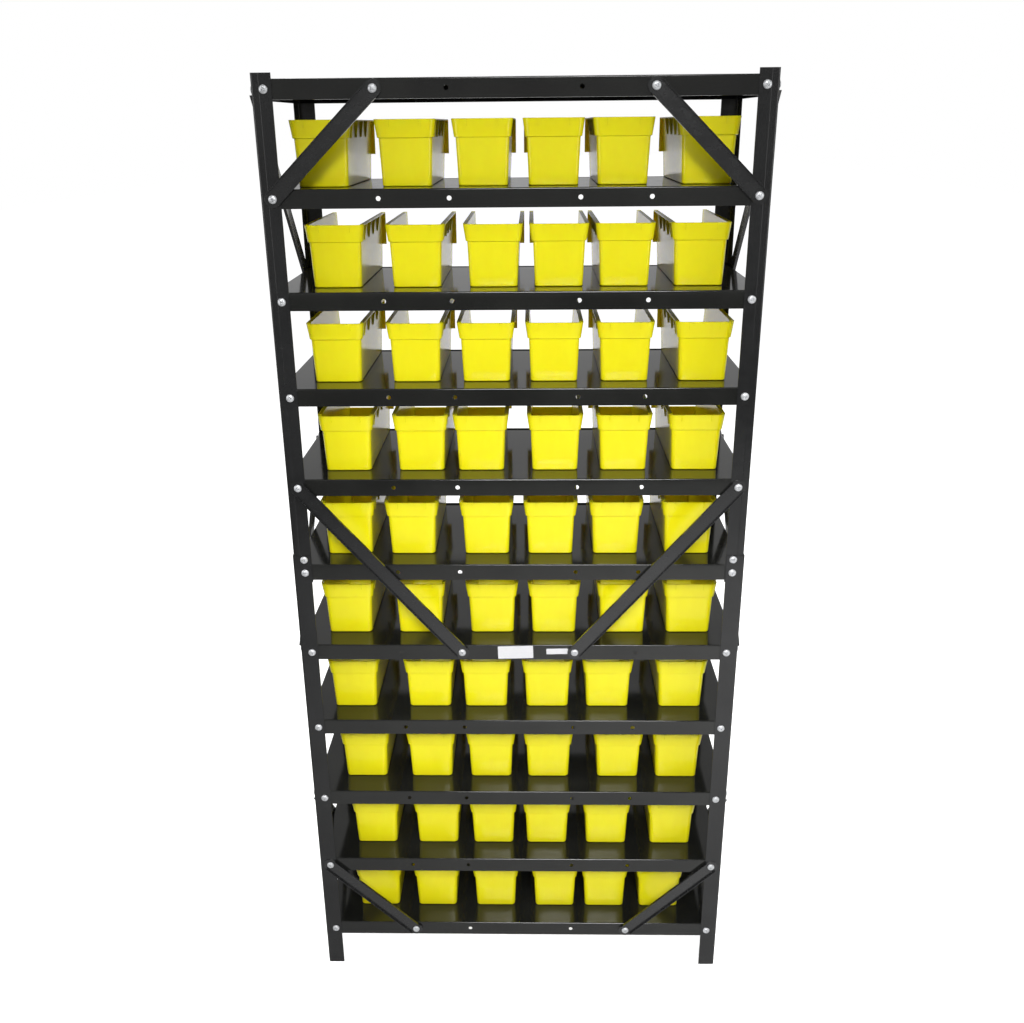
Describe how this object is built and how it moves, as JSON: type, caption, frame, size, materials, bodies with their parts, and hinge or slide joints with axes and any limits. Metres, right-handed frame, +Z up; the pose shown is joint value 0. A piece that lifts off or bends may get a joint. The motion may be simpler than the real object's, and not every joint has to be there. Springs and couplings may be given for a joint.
{
  "type": "parts bin rack",
  "caption": "Bolt-together steel rack of closely spaced shelves, each holding a row of open hopper-front plastic bins that slide out; flat braces stiffen the back and sides.",
  "frame": {"origin": "on the floor under the middle of the rack", "axes": "+X across the rack to the right as seen from the braced back, +Y towards the side where the bins come out, +Z up"},
  "size_m": [0.8668, 0.3574, 1.83],
  "materials": {
    "post_steel": "satin",
    "shelf_steel": "gloss",
    "brace_steel": "gloss",
    "zinc": "zinc plated",
    "bin_plastic": "gloss"
  },
  "bodies": {
    "rack": {"post_rear_left_lower": "post_steel", "post_rear_left_upper": "post_steel", "post_rear_right_lower": "post_steel", "post_rear_right_upper": "post_steel", "post_front_left_lower": "post_steel", "post_front_left_upper": "post_steel", "post_front_right_lower": "post_steel", "post_front_right_upper": "post_steel", "top_shelf": "shelf_steel", "shelf_1": "shelf_steel", "shelf_2": "shelf_steel", "shelf_3": "shelf_steel", "shelf_4": "shelf_steel", "shelf_5": "shelf_steel", "shelf_6": "shelf_steel", "shelf_7": "shelf_steel", "shelf_8": "shelf_steel", "shelf_9": "shelf_steel", "shelf_10": "shelf_steel", "back_brace_top_left": "brace_steel", "back_brace_top_right": "brace_steel", "back_brace_middle_left": "brace_steel", "back_brace_middle_right": "brace_steel", "back_brace_bottom_left": "brace_steel", "back_brace_bottom_right": "brace_steel", "side_brace_top_left": "brace_steel", "side_brace_top_right": "brace_steel", "side_brace_middle_left": "brace_steel", "side_brace_middle_right": "brace_steel", "side_brace_bottom_left": "brace_steel", "side_brace_bottom_right": "brace_steel", "frame_bolts": "zinc", "frame_nuts": "zinc"},
    "bin_1_1_body": {"bin_1_1": "bin_plastic"},
    "bin_1_2_body": {"bin_1_2": "bin_plastic"},
    "bin_1_3_body": {"bin_1_3": "bin_plastic"},
    "bin_1_4_body": {"bin_1_4": "bin_plastic"},
    "bin_1_5_body": {"bin_1_5": "bin_plastic"},
    "bin_1_6_body": {"bin_1_6": "bin_plastic"},
    "bin_2_1_body": {"bin_2_1": "bin_plastic"},
    "bin_2_2_body": {"bin_2_2": "bin_plastic"},
    "bin_2_3_body": {"bin_2_3": "bin_plastic"},
    "bin_2_4_body": {"bin_2_4": "bin_plastic"},
    "bin_2_5_body": {"bin_2_5": "bin_plastic"},
    "bin_2_6_body": {"bin_2_6": "bin_plastic"},
    "bin_3_1_body": {"bin_3_1": "bin_plastic"},
    "bin_3_2_body": {"bin_3_2": "bin_plastic"},
    "bin_3_3_body": {"bin_3_3": "bin_plastic"},
    "bin_3_4_body": {"bin_3_4": "bin_plastic"},
    "bin_3_5_body": {"bin_3_5": "bin_plastic"},
    "bin_3_6_body": {"bin_3_6": "bin_plastic"},
    "bin_row_4_body": {"bin_row_4": "bin_plastic"},
    "bin_row_5_body": {"bin_row_5": "bin_plastic"},
    "bin_row_6_body": {"bin_row_6": "bin_plastic"},
    "bin_row_7_body": {"bin_row_7": "bin_plastic"},
    "bin_row_8_body": {"bin_row_8": "bin_plastic"},
    "bin_row_9_body": {"bin_row_9": "bin_plastic"},
    "bin_row_10_body": {"bin_row_10": "bin_plastic"}
  },
  "joints": [
    {"name": "bin_1_1_slide", "type": "slide", "parent": "rack", "child": "bin_1_1_body", "axis": [0, 1, 0], "range_m": [0, 0.3]},
    {"name": "bin_1_2_slide", "type": "slide", "parent": "rack", "child": "bin_1_2_body", "axis": [0, 1, 0], "range_m": [0, 0.3]},
    {"name": "bin_1_3_slide", "type": "slide", "parent": "rack", "child": "bin_1_3_body", "axis": [0, 1, 0], "range_m": [0, 0.3]},
    {"name": "bin_1_4_slide", "type": "slide", "parent": "rack", "child": "bin_1_4_body", "axis": [0, 1, 0], "range_m": [0, 0.3]},
    {"name": "bin_1_5_slide", "type": "slide", "parent": "rack", "child": "bin_1_5_body", "axis": [0, 1, 0], "range_m": [0, 0.3]},
    {"name": "bin_1_6_slide", "type": "slide", "parent": "rack", "child": "bin_1_6_body", "axis": [0, 1, 0], "range_m": [0, 0.3]},
    {"name": "bin_2_1_slide", "type": "slide", "parent": "rack", "child": "bin_2_1_body", "axis": [0, 1, 0], "range_m": [0, 0.3]},
    {"name": "bin_2_2_slide", "type": "slide", "parent": "rack", "child": "bin_2_2_body", "axis": [0, 1, 0], "range_m": [0, 0.3]},
    {"name": "bin_2_3_slide", "type": "slide", "parent": "rack", "child": "bin_2_3_body", "axis": [0, 1, 0], "range_m": [0, 0.3]},
    {"name": "bin_2_4_slide", "type": "slide", "parent": "rack", "child": "bin_2_4_body", "axis": [0, 1, 0], "range_m": [0, 0.3]},
    {"name": "bin_2_5_slide", "type": "slide", "parent": "rack", "child": "bin_2_5_body", "axis": [0, 1, 0], "range_m": [0, 0.3]},
    {"name": "bin_2_6_slide", "type": "slide", "parent": "rack", "child": "bin_2_6_body", "axis": [0, 1, 0], "range_m": [0, 0.3]},
    {"name": "bin_3_1_slide", "type": "slide", "parent": "rack", "child": "bin_3_1_body", "axis": [0, 1, 0], "range_m": [0, 0.3]},
    {"name": "bin_3_2_slide", "type": "slide", "parent": "rack", "child": "bin_3_2_body", "axis": [0, 1, 0], "range_m": [0, 0.3]},
    {"name": "bin_3_3_slide", "type": "slide", "parent": "rack", "child": "bin_3_3_body", "axis": [0, 1, 0], "range_m": [0, 0.3]},
    {"name": "bin_3_4_slide", "type": "slide", "parent": "rack", "child": "bin_3_4_body", "axis": [0, 1, 0], "range_m": [0, 0.3]},
    {"name": "bin_3_5_slide", "type": "slide", "parent": "rack", "child": "bin_3_5_body", "axis": [0, 1, 0], "range_m": [0, 0.3]},
    {"name": "bin_3_6_slide", "type": "slide", "parent": "rack", "child": "bin_3_6_body", "axis": [0, 1, 0], "range_m": [0, 0.3]},
    {"name": "bin_row_4_slide", "type": "slide", "parent": "rack", "child": "bin_row_4_body", "axis": [0, 1, 0], "range_m": [0, 0.3]},
    {"name": "bin_row_5_slide", "type": "slide", "parent": "rack", "child": "bin_row_5_body", "axis": [0, 1, 0], "range_m": [0, 0.3]},
    {"name": "bin_row_6_slide", "type": "slide", "parent": "rack", "child": "bin_row_6_body", "axis": [0, 1, 0], "range_m": [0, 0.3]},
    {"name": "bin_row_7_slide", "type": "slide", "parent": "rack", "child": "bin_row_7_body", "axis": [0, 1, 0], "range_m": [0, 0.3]},
    {"name": "bin_row_8_slide", "type": "slide", "parent": "rack", "child": "bin_row_8_body", "axis": [0, 1, 0], "range_m": [0, 0.3]},
    {"name": "bin_row_9_slide", "type": "slide", "parent": "rack", "child": "bin_row_9_body", "axis": [0, 1, 0], "range_m": [0, 0.3]},
    {"name": "bin_row_10_slide", "type": "slide", "parent": "rack", "child": "bin_row_10_body", "axis": [0, 1, 0], "range_m": [0, 0.3]}
  ]
}
